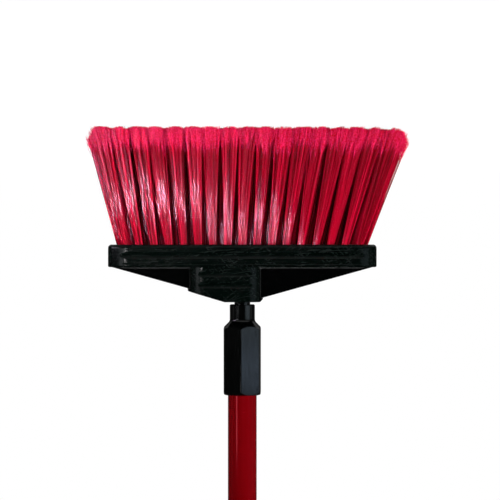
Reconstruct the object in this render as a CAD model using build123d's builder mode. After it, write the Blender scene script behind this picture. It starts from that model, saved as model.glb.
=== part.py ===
"""Upright push-and-sweep broom: flared bristle head with two screw sockets, and a screw-in tube handle.

Millimetres and degrees. The origin is on the floor, straight under the handle's axis. +Z runs up the
handle, X runs along the head and Y through its thickness. The front of the head faces -Y.
"""

import os
from math import cos, pi, radians, sin, sqrt, tan

from build123d import *

# Bristles
trim_length = 104.0  # from the face that the tufts are set in to the floor
tuft_pitch = 12.85  # wanted spacing along a row
tuft_hole_radius = 3.5
tuft_hole_depth = 13.0
outer_row_end_margin = 15.6  # end of the block to the last tuft of the front and rear rows
inner_row_end_margin = 11.5  # end of the block to the last tuft of the two inner rows
row_edge_margin = 7.1  # side of the block to the nearest row
row_count = 4
length_flare = 1.246  # spread of the tips along the head, over that of the roots
depth_flare = 1.25  # spread of the tips through the head's thickness
tip_drift = -3.9  # the worn brush leans a little to one side
tuft_tip_gap = 1.5  # between neighbouring tufts at the floor
strands_per_tuft = 6
strand_root_width = 1.7
strand_tip_width = 3.2
backing_thickness = 2.0  # slice of the block that a row of bristles is fused to
backing_rim = 2.6  # side wall of the block round that slice
tuft_fit_gap = 0.05

# Flat wire anchors that hold the folded tufts in their holes
anchor_bite = 0.4
anchor_thickness = 0.5
anchor_height = 2.5
anchor_top_cover = 0.6  # bristle folded over the anchor at the bottom of the hole

# Brush block, with its yoke and its socket boss
block_length = 237.1
block_depth = 46.0
block_height = 20.0
block_corner_radius = 18.0
block_face_edge_radius = 3.4
block_lip_edge_radius = 1.4
block_groove_radius = 4.1
block_groove_depth = 1.3
block_groove_height = 9.8  # above the tuft face
lip_groove_radius = 1.0
lip_groove_depth = 0.6
lip_height = 3.0  # bead left above the upper groove
yoke_angle = 15.57
yoke_depth = 26.0
yoke_end_inset = 3.8
yoke_edge_radius = 2.0
yoke_sink = 5.0  # how far the yoke is rooted in the block
boss_height = 30.8
boss_depth = 40.0
boss_corner_radius = 15.0
boss_wall = 8.4  # side of the straight socket to the end of the boss
boss_end_chamfer = 2.7
boss_edge_radius = 1.2
boss_groove_radius = 4.0
boss_groove_depth = 1.1
boss_groove_first = 6.3  # above the block
boss_groove_spacing = 9.7
angled_socket_wall = 7.2
angled_socket_tilt = 16.6

# Screw thread, a coarse trapezoidal 3/4 inch broom thread
thread_major_radius = 9.525
thread_pitch = 5.08
thread_flank_angle = 14.5
thread_crest_share = 0.3707
thread_clearance = 0.3
socket_depth = 28.0
socket_lead_in_radius = 10.3
socket_lead_in_depth = 4.0
stud_length = 23.8
stud_chamfer = 1.5
stud_relief = 0.8

# Handle tip
shoulder_gap = 2.2  # left between the boss and the shoulder of the tip
neck_radius = 11.1
neck_length = 13.0
neck_edge_chamfer = 0.8
flare_radius = 4.0
flare_angle = 45.0
hex_across_flats = 31.75
hex_edge_radius = 1.2
hex_length = 58.4
hex_turn = 4.0  # the hexagon's front edge, turned from the front of the head
hex_end_radius = 4.8
tube_seat_depth = 46.0
bond_gap = 0.1

# Core pin that stiffens the threaded stud
core_pin_radius = 3.5
core_pin_running_gap = 0.05
core_pin_end_gap = 0.3
core_pin_cover = 5.0  # plastic left below the pin at the end of the stud
core_pin_chamfer = 0.5

# Tube and hanging cap
tube_radius = 12.7
tube_wall = 1.0
tube_seat_step = 0.3  # the tube is drawn down where it enters the tip
tube_length = 1130.0
cap_plug_length = 28.0
cap_plug_chamfer = 2.0
cap_collar_height = 10.0
cap_collar_edge_radius = 2.5
cap_tongue_width = 21.0
cap_tongue_thickness = 12.0
cap_tongue_height = 24.0
cap_tongue_edge_radius = 1.5
hang_hole_radius = 5.0
hang_hole_edge_radius = 1.2

# Small overlap that makes joined shapes one solid
weld = 1.0

# Heights above the floor
tuft_face = trim_length
block_top = tuft_face + block_height
boss_top = block_top + boss_height
shoulder = boss_top + shoulder_gap
stud_end = shoulder - stud_length
flare_start = shoulder + neck_length

# Thread, from the basic profile
thread_depth = thread_pitch / 2
thread_minor_radius = thread_major_radius - thread_depth
crest_half_width = thread_crest_share * thread_pitch / 2
flank_slope = tan(radians(thread_flank_angle))
socket_bore_radius = thread_minor_radius + thread_clearance
ridge_start = stud_end + stud_chamfer + crest_half_width
ridge_end = shoulder - stud_relief - crest_half_width

# Outline of the yoke and the boss, seen from the front
yoke_half = block_length / 2 - yoke_end_inset
boss_half = thread_major_radius + thread_clearance + boss_wall
slope_length = 2 * (thread_major_radius + thread_clearance + angled_socket_wall)
slope_start_x = boss_half - boss_end_chamfer
slope_end_x = slope_start_x + slope_length * cos(radians(angled_socket_tilt))
slope_end_z = boss_top - slope_length * sin(radians(angled_socket_tilt))
boss_low_x = -boss_half
boss_high_x = slope_end_x
angled_mouth = Plane(
    origin=((slope_start_x + slope_end_x) / 2, 0, (boss_top + slope_end_z) / 2),
    x_dir=(cos(radians(angled_socket_tilt)), 0, -sin(radians(angled_socket_tilt))),
    z_dir=(sin(radians(angled_socket_tilt)), 0, cos(radians(angled_socket_tilt))),
)


def row_depth(row):
    """Y of a row's roots, from the front row to the rear one."""
    spacing = (block_depth - 2 * row_edge_margin) / (row_count - 1)
    return row_edge_margin - block_depth / 2 + row * spacing


def row_points(row):
    """X of each tuft root in a row: the inner rows reach further out than the front and rear ones."""
    outer = row in (0, row_count - 1)
    margin = outer_row_end_margin if outer else inner_row_end_margin
    span = block_length - 2 * margin
    count = round(span / tuft_pitch) + 1
    return [span * (i / (count - 1) - 0.5) for i in range(count)]


def tuft_roots(rows):
    """Root points, X and Y, of all the tufts in these rows."""
    return [(x, row_depth(row)) for row in rows for x in row_points(row)]


def strand(root, tip):
    """One bundle of bristles: a square column that thickens from its root in the backing to the floor."""
    with BuildPart() as bundle:
        with BuildSketch(Plane(origin=root)):
            Rectangle(strand_root_width, strand_root_width)
        with BuildSketch(Plane(origin=tip)):
            Rectangle(strand_tip_width, strand_tip_width)
        loft(ruled=True)
    return bundle.part


def tuft_strands(row):
    """The strands of a row: a ring in each hole, which widens towards the floor and follows the flare."""
    xs = row_points(row)
    y = row_depth(row)
    row_pitch = row_depth(1) - row_depth(0)
    tip_pitch = (xs[1] - xs[0]) * length_flare
    tip_row_pitch = row_pitch * depth_flare
    root_ring = tuft_hole_radius - strand_root_width / sqrt(2)
    tip_ring_x = (tip_pitch - tuft_tip_gap - strand_tip_width) / 2
    tip_ring_y = (tip_row_pitch - tuft_tip_gap - strand_tip_width) / 2
    root_height = tuft_face + backing_thickness / 2
    strands = []
    for x in xs:
        for i in range(strands_per_tuft):
            turn = 2 * pi * i / strands_per_tuft
            root = (x + root_ring * cos(turn), y + root_ring * sin(turn), root_height)
            tip = (
                x * length_flare + tip_drift + tip_ring_x * cos(turn),
                y * depth_flare + tip_ring_y * sin(turn),
                0,
            )
            strands.append(strand(root, tip))
    return strands


def yoke_edge(x):
    """Height of the yoke's sloping edge, which runs from each end of the block up into the boss."""
    return block_top + (yoke_half - abs(x)) * tan(radians(yoke_angle))


def helical_ridge(start, end, inner_radius, outer_radius, grow):
    """A trapezoidal thread ridge about Z, between two heights, with its flanks moved out by grow."""
    flank_shift = grow / cos(radians(thread_flank_angle))
    outer_half = crest_half_width + flank_shift - (outer_radius - thread_major_radius) * flank_slope
    inner_half = crest_half_width + flank_shift + (thread_major_radius - inner_radius) * flank_slope
    with BuildPart() as ridge:
        with BuildLine():
            path = Helix(thread_pitch, end - start, thread_minor_radius, center=(0, 0, start))
        with BuildSketch(Plane.XZ):
            with BuildLine():
                Polyline(
                    (inner_radius, start - inner_half),
                    (outer_radius, start - outer_half),
                    (outer_radius, start + outer_half),
                    (inner_radius, start + inner_half),
                    close=True,
                )
            make_face()
        sweep(path=path, is_frenet=True)
    return ridge.part


# Flat wire anchors, one across the bottom of each tuft hole
anchor_height_above_floor = tuft_face + tuft_hole_depth - anchor_top_cover - anchor_height / 2
with BuildPart() as tuft_anchors:
    with Locations(*[(x, y, anchor_height_above_floor) for x, y in tuft_roots(range(row_count))]):
        Box(2 * (tuft_hole_radius + anchor_bite), anchor_thickness, anchor_height)

# Yoke that tapers from the ends of the block into the boss
with BuildPart() as yoke:
    with BuildSketch(Plane.XZ):
        with BuildLine():
            Polyline(
                (-yoke_half, block_top - yoke_sink),
                (-yoke_half, block_top),
                (boss_low_x + weld, yoke_edge(boss_low_x + weld)),
                (boss_high_x - weld, yoke_edge(boss_high_x - weld)),
                (yoke_half, block_top),
                (yoke_half, block_top - yoke_sink),
                close=True,
            )
        make_face()
    extrude(amount=yoke_depth / 2, both=True)
    long_edges = yoke.edges().filter_by(Axis.Y, reverse=True)
    fillet(long_edges.filter_by(lambda edge: edge.center().Z > block_top), yoke_edge_radius)

# Boss that holds the straight socket and the angled one
with BuildPart() as socket_boss:
    with BuildSketch(Plane.XY.offset(block_top - weld)):
        with Locations(((boss_low_x + boss_high_x) / 2, 0)):
            RectangleRounded(boss_high_x - boss_low_x, boss_depth, boss_corner_radius)
    extrude(amount=boss_height + weld)
    with BuildSketch(Plane.XZ):
        with BuildLine():
            Polyline(
                (boss_low_x, block_top - weld),
                (boss_low_x, boss_top - boss_end_chamfer),
                (boss_low_x + boss_end_chamfer, boss_top),
                (slope_start_x, boss_top),
                (slope_end_x, slope_end_z),
                (slope_end_x, block_top - weld),
                close=True,
            )
        make_face()
    extrude(amount=boss_depth, both=True, mode=Mode.INTERSECT)
    boss_crown = socket_boss.faces().filter_by(lambda face: face.normal_at().Z > sin(radians(30)))
    fillet(boss_crown.edges(), boss_edge_radius)
    boss_groove_y = boss_depth / 2 + boss_groove_radius - boss_groove_depth
    with BuildSketch(Plane.YZ.offset(boss_low_x)):
        for side in (-1, 1):
            for level in (0, 1):
                height = block_top + boss_groove_first + level * boss_groove_spacing
                with Locations((side * boss_groove_y, height)):
                    Circle(boss_groove_radius)
    extrude(amount=boss_high_x - boss_low_x, mode=Mode.SUBTRACT)

# Space of a screw socket, about Z with its mouth at the height of the boss: a bore, a plain lead-in and a
# thread in step with the thread on the stud
socket_ridge = helical_ridge(
    ridge_start - thread_pitch,
    boss_top - socket_lead_in_depth / 2,
    socket_bore_radius - weld,
    thread_major_radius + thread_clearance,
    thread_clearance,
)
with BuildPart() as socket_space:
    with BuildSketch(Plane.XY.offset(boss_top - socket_depth)):
        Circle(socket_bore_radius)
    extrude(amount=socket_depth)
    add(socket_ridge)
    with BuildSketch(Plane.XY.offset(boss_top - socket_lead_in_depth)):
        Circle(socket_lead_in_radius)
    extrude(amount=socket_lead_in_depth + weld)
angled_socket_space = angled_mouth.location * Pos(0, 0, -boss_top) * socket_space.part

# Moulded head: block, yoke and boss in one piece, with its tuft holes and screw sockets
with BuildPart() as head_block:
    with BuildSketch(Plane.XY.offset(tuft_face)):
        RectangleRounded(block_length, block_depth, block_corner_radius)
    extrude(amount=block_height)
    fillet(head_block.edges().group_by(Axis.Z)[0], block_face_edge_radius)
    fillet(head_block.edges().group_by(Axis.Z)[-1], block_lip_edge_radius)
    block_groove_y = block_depth / 2 + block_groove_radius - block_groove_depth
    lip_groove_y = block_depth / 2 + lip_groove_radius - lip_groove_depth
    with BuildSketch(Plane.YZ):
        with Locations(*[(side * block_groove_y, tuft_face + block_groove_height) for side in (-1, 1)]):
            Circle(block_groove_radius)
        with Locations(*[(side * lip_groove_y, block_top - lip_height) for side in (-1, 1)]):
            Circle(lip_groove_radius)
    extrude(amount=block_length / 2, both=True, mode=Mode.SUBTRACT)
    add(yoke.part)
    add(socket_boss.part)
    with BuildSketch(Plane.XY.offset(tuft_face)):
        RectangleRounded(
            block_length - 2 * backing_rim,
            block_depth - 2 * backing_rim,
            block_corner_radius - backing_rim,
        )
    extrude(amount=backing_thickness, mode=Mode.SUBTRACT)
    with BuildSketch(Plane.XY.offset(tuft_face)):
        with Locations(*tuft_roots(range(row_count))):
            Circle(tuft_hole_radius)
    extrude(amount=tuft_hole_depth, mode=Mode.SUBTRACT)
    add(tuft_anchors.part, mode=Mode.SUBTRACT)
    add(socket_space.part, mode=Mode.SUBTRACT)
    add(angled_socket_space, mode=Mode.SUBTRACT)


def bristle_row(row):
    """One row of tufts: its slice of the backing, the tuft roots in their holes and the strands."""
    spacing = row_depth(1) - row_depth(0)
    with BuildPart() as bristles:
        with BuildSketch(Plane.XY.offset(tuft_face)):
            RectangleRounded(
                block_length - 2 * backing_rim,
                block_depth - 2 * backing_rim,
                block_corner_radius - backing_rim,
            )
            band_low = -block_depth / 2 if row == 0 else row_depth(row) - spacing / 2
            band_high = block_depth / 2 if row == row_count - 1 else row_depth(row) + spacing / 2
            with Locations((0, (band_low + band_high) / 2)):
                Rectangle(block_length, band_high - band_low, mode=Mode.INTERSECT)
        extrude(amount=backing_thickness)
        with BuildSketch(Plane.XY.offset(tuft_face + backing_thickness - weld)):
            with Locations(*tuft_roots([row])):
                Circle(tuft_hole_radius - tuft_fit_gap)
        extrude(amount=tuft_hole_depth - backing_thickness + weld)
        add(tuft_strands(row))
        add(tuft_anchors.part, mode=Mode.SUBTRACT)
    return bristles.part


# Handle tip: threaded stud, round neck and hexagonal sleeve that takes the tube
hex_corner_radius = hex_across_flats / sqrt(3)
flare_end_radius = neck_radius + flare_radius * (1 - cos(radians(flare_angle)))
flare_end = flare_start + flare_radius * sin(radians(flare_angle))
cone_end = flare_end + (hex_corner_radius - flare_end_radius) / tan(radians(flare_angle))
tip_end = cone_end + hex_length
tube_seat = tip_end - tube_seat_depth
stud_ridge = helical_ridge(ridge_start, ridge_end, thread_minor_radius - weld, thread_major_radius, 0)
with BuildPart() as handle_tip:
    with BuildSketch(Plane.XZ):
        with BuildLine():
            Polyline(
                (neck_radius, flare_start),
                (neck_radius, shoulder + neck_edge_chamfer),
                (neck_radius - neck_edge_chamfer, shoulder),
                (thread_minor_radius, shoulder),
                (thread_minor_radius, stud_end + stud_chamfer),
                (thread_minor_radius - stud_chamfer, stud_end),
                (0, stud_end),
                (0, tip_end),
                (hex_corner_radius - hex_end_radius, tip_end),
            )
            hex_end_arc = JernArc(
                (hex_corner_radius - hex_end_radius, tip_end), (1, 0), hex_end_radius, -90
            )
            Line(hex_end_arc @ 1, (hex_corner_radius, cone_end))
            Line((hex_corner_radius, cone_end), (flare_end_radius, flare_end))
            RadiusArc((flare_end_radius, flare_end), (neck_radius, flare_start), -flare_radius)
        make_face()
    revolve(axis=Axis.Z)
    with BuildSketch(Plane.XY.offset(stud_end)) as hexagon:
        RegularPolygon(hex_corner_radius, 6, rotation=hex_turn - 90)
        fillet(hexagon.vertices(), hex_edge_radius)
    extrude(amount=tip_end - stud_end, mode=Mode.INTERSECT)
    add(stud_ridge)
    with BuildSketch(Plane.XY.offset(tip_end)):
        Circle(tube_radius - tube_seat_step + bond_gap)
    extrude(amount=-tube_seat_depth, mode=Mode.SUBTRACT)
    with BuildSketch(Plane.XY.offset(tube_seat)):
        Circle(core_pin_radius + core_pin_running_gap)
    extrude(amount=stud_end + core_pin_cover - tube_seat, mode=Mode.SUBTRACT)

# Steel pin inside the stud, neck and root of the sleeve, put in from the tube's end
core_pin_low = stud_end + core_pin_cover + core_pin_end_gap
with BuildPart() as tip_core_pin:
    with BuildSketch(Plane.XY.offset(core_pin_low)):
        Circle(core_pin_radius)
    extrude(amount=tube_seat - core_pin_low)
    pin_ends = tip_core_pin.edges().filter_by(GeomType.CIRCLE)
    chamfer(pin_ends, core_pin_chamfer)

# Tube, drawn down where it enters the tip so that its shoulder seats on the end of the tip
tube_top = tip_end + tube_length - tube_seat_depth
with BuildPart() as handle_tube:
    with BuildSketch(Plane.XY.offset(tube_seat)):
        Circle(tube_radius - tube_seat_step)
    extrude(amount=tube_seat_depth)
    with BuildSketch(Plane.XY.offset(tip_end)):
        Circle(tube_radius)
    extrude(amount=tube_top - tip_end)
    with BuildSketch(Plane.XY.offset(tube_seat)):
        Circle(tube_radius - tube_wall)
    extrude(amount=tube_length, mode=Mode.SUBTRACT)

# Cap that plugs the top of the tube, with a flat tongue to hang the broom by
tongue_top = tube_top + cap_collar_height + cap_tongue_height
hang_hole_height = tongue_top - cap_tongue_width / 2
with BuildPart() as hang_tongue:
    with BuildSketch(Plane.XZ):
        with Locations((0, (tube_top + cap_collar_height / 2 + hang_hole_height) / 2)):
            Rectangle(cap_tongue_width, hang_hole_height - tube_top - cap_collar_height / 2)
        with Locations((0, hang_hole_height)):
            Circle(cap_tongue_width / 2)
    extrude(amount=cap_tongue_thickness / 2, both=True)
    fillet(hang_tongue.faces().filter_by(Axis.Y).edges(), cap_tongue_edge_radius)

with BuildPart() as hang_cap:
    with BuildSketch(Plane.XY.offset(tube_top)):
        Circle(tube_radius)
    extrude(amount=cap_collar_height)
    fillet(hang_cap.edges().sort_by(Axis.Z)[-1], cap_collar_edge_radius)
    add(hang_tongue.part)
    with BuildSketch(Plane.XY.offset(tube_top)):
        Circle(tube_radius - tube_wall - bond_gap)
    extrude(amount=-cap_plug_length)
    chamfer(hang_cap.edges().sort_by(Axis.Z)[0], cap_plug_chamfer)
    with BuildSketch(Plane.XZ):
        with Locations((0, hang_hole_height)):
            Circle(hang_hole_radius)
    extrude(amount=cap_tongue_thickness, both=True, mode=Mode.SUBTRACT)
    hole_rims = hang_cap.edges().filter_by(GeomType.CIRCLE).filter_by(
        lambda edge: abs(edge.radius - hang_hole_radius) < bond_gap
    )
    fillet(hole_rims, hang_hole_edge_radius)

pieces = {
    "head_block": head_block.part,
    "tuft_anchors": tuft_anchors.part,
    "handle_tip": handle_tip.part,
    "tip_core_pin": tip_core_pin.part,
    "handle_tube": handle_tube.part,
    "hang_cap": hang_cap.part,
}
for row in range(row_count):
    pieces[f"bristle_row_{row + 1}"] = bristle_row(row)

os.makedirs("parts", exist_ok=True)
for name, piece in pieces.items():
    piece.label = name
    export_step(piece, f"parts/{name}.step")
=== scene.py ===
"""Looks of a screw-handle broom: its flared crimson bristles, and the finish of every other piece.

Metres, in the frame of the CAD model. The bristle tips rest on the floor at Z 0, +Z runs up the handle,
X runs along the head, and the front of the head faces -Y.
"""

import math

import bpy
import numpy as np
from mathutils import Matrix, Vector


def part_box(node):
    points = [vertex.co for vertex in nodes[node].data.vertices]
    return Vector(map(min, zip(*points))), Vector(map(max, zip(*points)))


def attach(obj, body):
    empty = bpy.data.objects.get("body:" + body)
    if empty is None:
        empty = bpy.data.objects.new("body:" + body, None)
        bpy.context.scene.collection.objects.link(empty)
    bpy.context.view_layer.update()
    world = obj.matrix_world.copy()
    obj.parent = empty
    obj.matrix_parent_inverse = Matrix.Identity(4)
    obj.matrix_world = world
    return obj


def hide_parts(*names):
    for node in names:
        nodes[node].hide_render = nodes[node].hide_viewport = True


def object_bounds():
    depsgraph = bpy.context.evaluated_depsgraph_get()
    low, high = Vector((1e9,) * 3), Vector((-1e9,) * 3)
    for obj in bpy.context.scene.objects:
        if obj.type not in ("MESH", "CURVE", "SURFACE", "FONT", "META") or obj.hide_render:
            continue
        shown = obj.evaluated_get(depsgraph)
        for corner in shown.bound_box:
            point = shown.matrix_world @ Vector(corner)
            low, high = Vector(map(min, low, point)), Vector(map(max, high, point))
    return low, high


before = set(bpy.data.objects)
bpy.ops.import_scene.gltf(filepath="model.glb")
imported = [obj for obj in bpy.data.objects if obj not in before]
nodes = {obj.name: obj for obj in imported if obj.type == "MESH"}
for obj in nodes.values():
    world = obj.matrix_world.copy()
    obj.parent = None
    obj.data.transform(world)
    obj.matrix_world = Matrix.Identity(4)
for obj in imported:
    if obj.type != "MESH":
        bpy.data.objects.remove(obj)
cad_low, cad_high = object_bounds()
head_low, head_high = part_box("head_block")

# Tufts, as they are set in the head
ROW_COUNT = 4
TUFT_PITCH = 0.01285
OUTER_ROW_END_MARGIN = 0.0156
INNER_ROW_END_MARGIN = 0.0115
ROW_EDGE_MARGIN = 0.0071
TUFT_RADIUS = 0.0031
INNER_TUFT_HALF_LENGTH = 0.0058  # along the head, where the tufts of an inner row close up
LENGTH_FLARE = 1.246
DEPTH_FLARE = 1.25
TIP_DRIFT = -0.005
TUFT_FACE = head_low.z
ROOT_SINK = 0.0015  # how far the filaments start inside the bed

# Filaments
RANDOM_SEED = 40
FILAMENTS_PER_TUFT = 110
FILAMENT_RADIUS = 0.0003
RADIUS_RANGE = (0.8, 1.2)
FILAMENT_RINGS = np.array([0.0, 0.26, 0.5, 0.72, 0.88, 1.0])
FILAMENT_TAPER = 0.5
TAPER_START = 0.84
TUBE_SIDES = 3
FILAMENT_BOW = 0.00015
TUFT_BOW = 0.0003
STRAY_SHARE = 0.018
STRAY_SCATTER = 0.004
LOOSE_SCATTER = 0.0004  # of the tips that don't stray
SOFT_REACH = 0.003  # how far loose tips may pass the CAD box

# Clumps that the filaments of a tuft draw into
CLUMPS_PER_TUFT = 32
CLUMP_SCATTER = 0.06  # of a clump's place, as a share of the tuft's radius
CLUMP_GATHER = 0.6  # share of their spacing that the filaments of a clump keep at their tips
TIP_SWAY = 0.0006  # of each clump, and of each tuft as a whole
TUFT_SPREAD = (0.96, 1.08)  # width of a tuft at the floor, over the pitch there
CLUMP_TONE = 0.7
FILAMENT_TONE = 0.3
TONE_CONTRAST = 1.4

# Trim of the tips
DOME_HEIGHT = 0.0026  # from the middle of a tuft to its rim
DOME_RANGE = (0.5, 1.5)
CLUMP_LIFT = 0.0011
UNEVEN_SHAPE = 1.2  # of the gamma distribution of single lengths
FILAMENT_UNEVEN = 0.0005
INNER_TIP_LIFT = 0.0012
CORNER_LIFT = 0.007
CORNER_WIDTH = 0.003
END_SLOPE = 0.003
END_WIDTH = 0.03
TRIM_LEVEL = 0.0011  # how far the uneven tips are let down before they are cut off level
SHORTEST_STAND = 0.0002  # height of that cut above the floor

# Flags, the fine hairs that a filament splits into
FLAG_START = 0.86  # where a filament splits, as a share of its length
FLAG_START_LIMITS = (0.7, 0.95)
CLUMP_START_SPREAD = 0.03
TUFT_START_SPREAD = 0.015
FILAMENT_START_SPREAD = 0.025
FLAG_START_SPREAD = 0.01
FLAGS_PER_FILAMENT = 4
FLAG_RADIUS = 0.0002
FLAG_TAPER = 0.3
FLAG_RINGS = np.array([0.0, 0.5, 1.0])
FLAG_SPLAY = 0.0015
FLAG_CRIMP = 0.0008
FLAG_UNEVEN = 0.0006
FLAG_OWN_TONE = 0.6
FLAG_FILAMENT_TONE = 0.4

# Where filaments count as outer ones, as shares of the outermost depth and length; the others get painted
# shade
OUTER_DEPTH = (0.3, 0.8)
OUTER_LENGTH = (0.84, 0.96)

# Colour of a filament: fades are shares of its length
ROOT_SHADE_FADE = (0.22, 0.82)  # over which the painted shade at the inner roots fades
FLAG_FADE_BEFORE = 0.05  # how far before the split the colour of the tip starts to come in
FLAG_FADE_AFTER = 0.03  # how far after the split that colour is full
TIP_TONE = 0.3  # weight of the filament's tone in how bright its tip is
TIP_CRINKLE_SHADE = 0.7  # weight of the painted light and shade of crinkles in that

# Bake map: bands of narrow columns, a column for each filament
MAP_BANDS = 8
COLUMN_EDGE = 0.15
COLUMN_STEP = 0.35  # from one side of a tube to the next, as a share of its column
BAND_EDGE = 0.04
BAND_RUN = 0.92

# Bed that closes the tuft face
BED_RIM = 0.0026
BED_THICKNESS = 0.002
BED_ARC_POINTS = 13
BLOCK_CORNER_RADIUS = 0.018

# Head, for the mask of its proud faces, which take scratches and dust while its recesses get painted shade
YOKE_HALF_DEPTH = 0.013
PROUD_DEPTHS = (YOKE_HALF_DEPTH + 0.0003, YOKE_HALF_DEPTH + 0.002)  # where the proud faces start and are full
BLOCK_TOP = 0.124
BLOCK_TOP_BLEND = 0.0006

# Surface effects: noise scales are per metre
NOISE_ROUGHNESS = 0.55
NOISE_MIDDLE = (0.3, 0.7)  # where most of a noise's values lie
# Painted light and shade of the crinkled split tips, as a noise
CRINKLE_SCALE = 760.0
CRINKLE_LEVELS = (0.4, 0.6)
GRAIN_FINER = 2.7  # scale of the second layer of grain, over the first
COARSE_GRAIN = 0.65
FINE_GRAIN = 0.35
SCRATCH_ANGLES = (38, -47, 8)  # degrees from the length of the head
SCRATCH_STRETCH = (0.07, 1.0, 1.0)
SCRATCH_LEVELS = (0.8, 0.45)  # noise level that counts as a scratch, at a share of 0 and of 1
SCRATCH_EDGE = 0.12
WEAR_SCALE = 60.0
WEAR_LEVELS = (0.3, 0.65)
WEAR_LEAST = 0.25
DUST_LEVELS = (0.8, 0.4)  # noise level that counts as a speck, at a share of 0 and of 1
DUST_EDGE = 0.1
DUST_SPECK_SCALE = 1400.0
DUST_PATCH_SCALE = 55.0
DUST_PATCH_LEVELS = (0.4, 0.65)
RAY_SAMPLES = 8

# Moulded plastic
PLASTIC_GRAIN = 1700.0
PLASTIC_STREAKS = 900.0
PLASTIC_SCRATCHES = 640.0
PLASTIC_DUST = 0.35
PLASTIC_RELIEF = 0.000012
SCRATCH_TINT = 0.6
SCRATCH_DEPTH = 0.5
SCRATCH_ROUGHNESS = 0.06
STREAK_ROUGHNESS = 0.04
EDGE_WIDTH = 0.0012
EDGE_TINT = 0.25
CREASE_WIDTH = 0.0022

# Photograph: its 500 pixels span the frame's width, in the upright plane through the frame's centre
FRAME_WIDTH = 0.441
FRAME_CENTRE = Vector((-0.0068, -0.007, 0.1089))
CAMERA_DISTANCE = 2.4
CAMERA_REACH = 50
SENSOR_WIDTH = 36.0

# Studio
BACK_WALL_SPAN = (0.3, 0.9)  # Y of a direction, from where the wall behind starts to where it is full
BACK_WALL_LEVELS = (0.012, 0.05)
SIDE_WALL_SPAN = (0.968, 0.997)  # X of a direction, likewise
LEFT_WALL_LEVEL = 0.12
RIGHT_WALL_LEVEL = 0.2
AMBIENT_LEVEL = 0.45
FLOOR_HALF = 4.0
FLOOR_DROP = 0.0004
FLOOR_SHADE = 0.86
FLOOR_GLOW = 1.055
FLOOR_GLOW_SHARE = 0.92  # of what the camera sees
FLOOR_MIRROR_REACH = (0.1, 0.5)  # distances over which the floor fades from reflections
FLOOR_MIRROR_LEVELS = (0.8, 0.02)  # share of it that they show, before and after
NEAR_LAMP = 0.448
FAR_LAMP = 1.2
FILL_LAMP = 1.4
WHITE = (1.0, 1.0, 1.0)


def row_depth(row):
    """Y of a row of tufts: the rows are evenly spaced between the two edge margins."""
    half = head_high.y - ROW_EDGE_MARGIN
    return half * (2 * row / (ROW_COUNT - 1) - 1)


def is_inner(row):
    """Whether a row lies between two others."""
    return 0 < row < ROW_COUNT - 1


def row_roots(row):
    """X of each tuft in a row: evenly spaced at about the tuft pitch, inner rows reaching further out."""
    margin = INNER_ROW_END_MARGIN if is_inner(row) else OUTER_ROW_END_MARGIN
    span = head_high.x - head_low.x - 2 * margin
    count = round(span / TUFT_PITCH) + 1
    return np.linspace(-span / 2, span / 2, count)


def smoothstep(low, high, value):
    """0 below low, 1 above high, and 3 s^2 - 2 s^3 between, with s the share of the way."""
    share = np.clip((value - low) / (high - low), 0, 1)
    return share * share * (3 - 2 * share)


def build_mesh(name, vertices, corner_lists, smooth):
    """A mesh object at the origin, from points and arrays of face corners, each array smooth or flat."""
    mesh = bpy.data.meshes.new(name)
    corners = np.concatenate([c.ravel() for c in corner_lists]).astype(np.int32)
    sizes = np.concatenate([np.full(len(c), c.shape[1]) for c in corner_lists])
    starts = np.concatenate([[0], np.cumsum(sizes)[:-1]]).astype(np.int32)
    mesh.vertices.add(len(vertices))
    mesh.vertices.foreach_set("co", np.asarray(vertices, np.float32).ravel())
    mesh.loops.add(len(corners))
    mesh.loops.foreach_set("vertex_index", corners)
    mesh.polygons.add(len(sizes))
    mesh.polygons.foreach_set("loop_start", starts)
    mesh.polygons.foreach_set("use_smooth", np.repeat(smooth, [len(c) for c in corner_lists]))
    mesh.update(calc_edges=True)
    piece = bpy.data.objects.new(name, mesh)
    bpy.context.scene.collection.objects.link(piece)
    return piece


def point_attribute(piece, name, values):
    """Keeps one number for each vertex of a piece, for its material to read."""
    attribute = piece.data.attributes.new(name, "FLOAT", "POINT")
    attribute.data.foreach_set("value", np.asarray(values, np.float32).ravel())


def tubes(centres, radii, turn):
    """Closed three-sided tubes along many paths at once, each running down from its first ring to its last.

    A ring's corner j is the ring's centre plus its radius times (cos a, sin a, 0), with a the tube's own
    turn plus j thirds of a circle. Returns the points, the side quads, and the end triangles.
    """
    count, rings = radii.shape
    angle = turn[:, None] + np.arange(TUBE_SIDES) * 2 * np.pi / TUBE_SIDES
    spoke = np.stack([np.cos(angle), np.sin(angle), np.zeros_like(angle)], axis=-1)
    points = centres[:, :, None, :] + radii[:, :, None, None] * spoke[:, None, :, :]
    index = np.arange(count * rings * TUBE_SIDES).reshape(count, rings, TUBE_SIDES)
    upper = index[:, :-1]
    lower = index[:, 1:]
    beside = np.roll(index, -1, axis=2)
    quads = np.stack([upper, lower, beside[:, 1:], beside[:, :-1]], axis=-1).reshape(-1, 4)
    ends = np.concatenate([index[:, 0], index[:, -1, ::-1]])
    return points.reshape(-1, 3), quads, ends


def disc_spots(count):
    """Even filling of a unit disc.

    Spot k lies at radius sqrt((k + 1/2) / count), one golden angle past spot k - 1.
    """
    order = np.arange(count)
    radius = np.sqrt((order + 0.5) / count)
    angle = order * math.pi * (3 - math.sqrt(5))
    return np.stack([radius * np.cos(angle), radius * np.sin(angle)], axis=-1)


def tip_lift(x):
    """How far the tips stand off the floor near the ends of the rows, where the trim is worn.

    A bell of the distance from the nearer end rounds both corners, and a slope that dies away exponentially
    is worn into the -X end.
    """
    reach = row_roots(1)[-1] * LENGTH_FLARE + TUFT_PITCH * LENGTH_FLARE / 2
    from_high_end = np.maximum(reach + TIP_DRIFT - x, 0)
    from_low_end = np.maximum(reach - TIP_DRIFT + x, 0)
    corner = np.exp(-((np.minimum(from_high_end, from_low_end) / CORNER_WIDTH) ** 2))
    return CORNER_LIFT * corner + END_SLOPE * np.exp(-from_low_end / END_WIDTH)


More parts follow.
